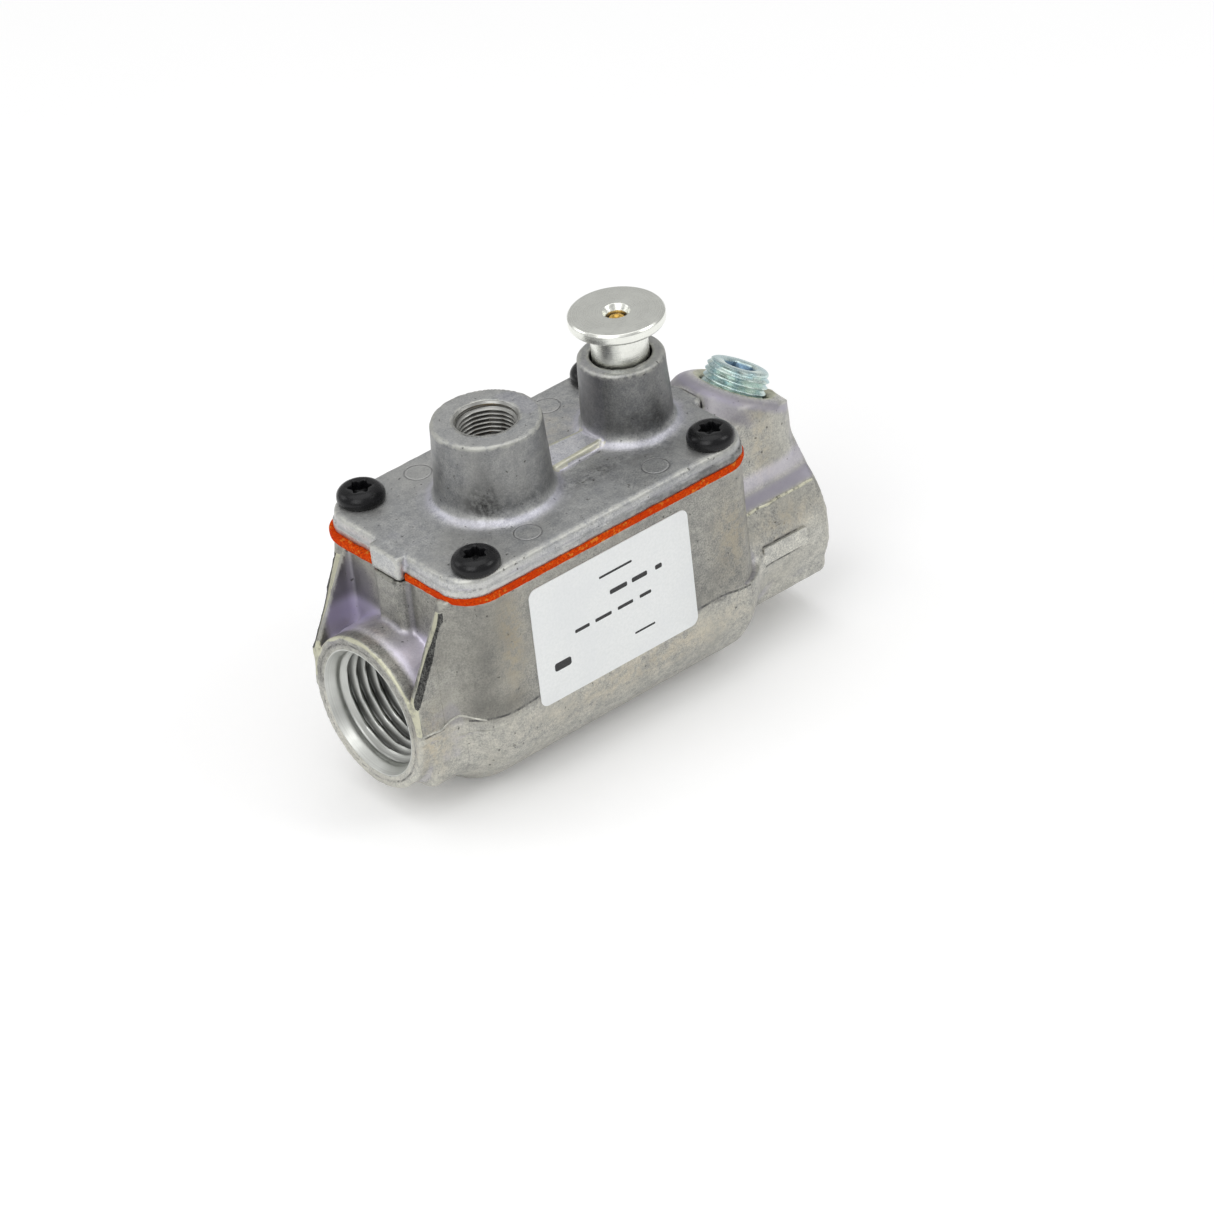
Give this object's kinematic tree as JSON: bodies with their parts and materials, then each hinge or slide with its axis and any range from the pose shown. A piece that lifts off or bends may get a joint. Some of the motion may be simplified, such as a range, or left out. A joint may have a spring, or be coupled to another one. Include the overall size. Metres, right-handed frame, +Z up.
{
  "type": "gas valve",
  "caption": "Die-cast gas safety valve with in-line threaded pipe ports, a screwed cover, a push-to-reset button, a thermocouple port and a plugged side port.",
  "frame": {"origin": "centre of the base's bounding box, on the flat underside of the body, midway between the two pipe faces", "axes": "+X along the pipe axis from the inlet to the outlet, +Z up towards the reset button, and the rating label on the -Y wall"},
  "size_m": [0.0864, 0.038, 0.0659],
  "materials": {
    "cast_aluminium": "satin",
    "cast_cover": "satin",
    "turned_aluminium": "gloss",
    "gasket_fibre": "matte",
    "black_oxide": "satin",
    "zinc_plate": "satin",
    "brass": "gloss",
    "steel": "satin",
    "copper": "satin",
    "rubber": "matte",
    "fibre_board": "matte",
    "label_paper": "satin"
  },
  "bodies": {
    "housing": {"valve_body": "cast_aluminium", "cover": "cast_cover", "cover_gasket": "gasket_fibre", "cover_screw_1": "black_oxide", "cover_screw_2": "black_oxide", "cover_screw_3": "black_oxide", "cover_screw_4": "black_oxide", "button_return_spring": "steel", "terminal_contact": "brass", "terminal_insulator": "fibre_board", "magnet_base": "brass", "magnet_core": "steel", "magnet_coil_1": "copper", "magnet_coil_2": "copper", "valve_spring": "steel", "lever_pivot_pin": "steel", "lever_bracket": "steel", "bracket_screw_1": "steel", "bracket_screw_2": "steel", "side_plug": "zinc_plate", "rating_label": "label_paper"},
    "button": {"reset_button": "turned_aluminium", "push_rod": "brass", "stem_seal_ring": "rubber", "retaining_clip": "steel"},
    "lever": {"rocker_lever": "steel"},
    "closing_part": {"armature": "steel", "valve_stem": "steel", "main_valve_disc": "turned_aluminium", "valve_seal": "rubber"}
  },
  "joints": [
    {"name": "button_slide", "type": "slide", "parent": "housing", "child": "button", "axis": [0, 0, -1], "range_m": [0, 0.00385], "stiffness_N_per_m": 1200, "springref_m": -0.004, "deforming": ["button_return_spring"]},
    {"name": "lever_pivot", "type": "hinge", "parent": "housing", "child": "lever", "pos_m": [0, 0, 0.0346], "axis": [0, 1, 0], "range_deg": [0, 15.1]},
    {"name": "valve_lift", "type": "slide", "parent": "housing", "child": "closing_part", "axis": [0, 0, 1], "range_m": [0, 0.0034], "deforming": ["valve_spring"]}
  ],
  "couplings": [
    {"joint": "lever_pivot", "follows": "button_slide", "rad_per_m": 68},
    {"joint": "valve_lift", "follows": "button_slide", "ratio": 0.87}
  ]
}
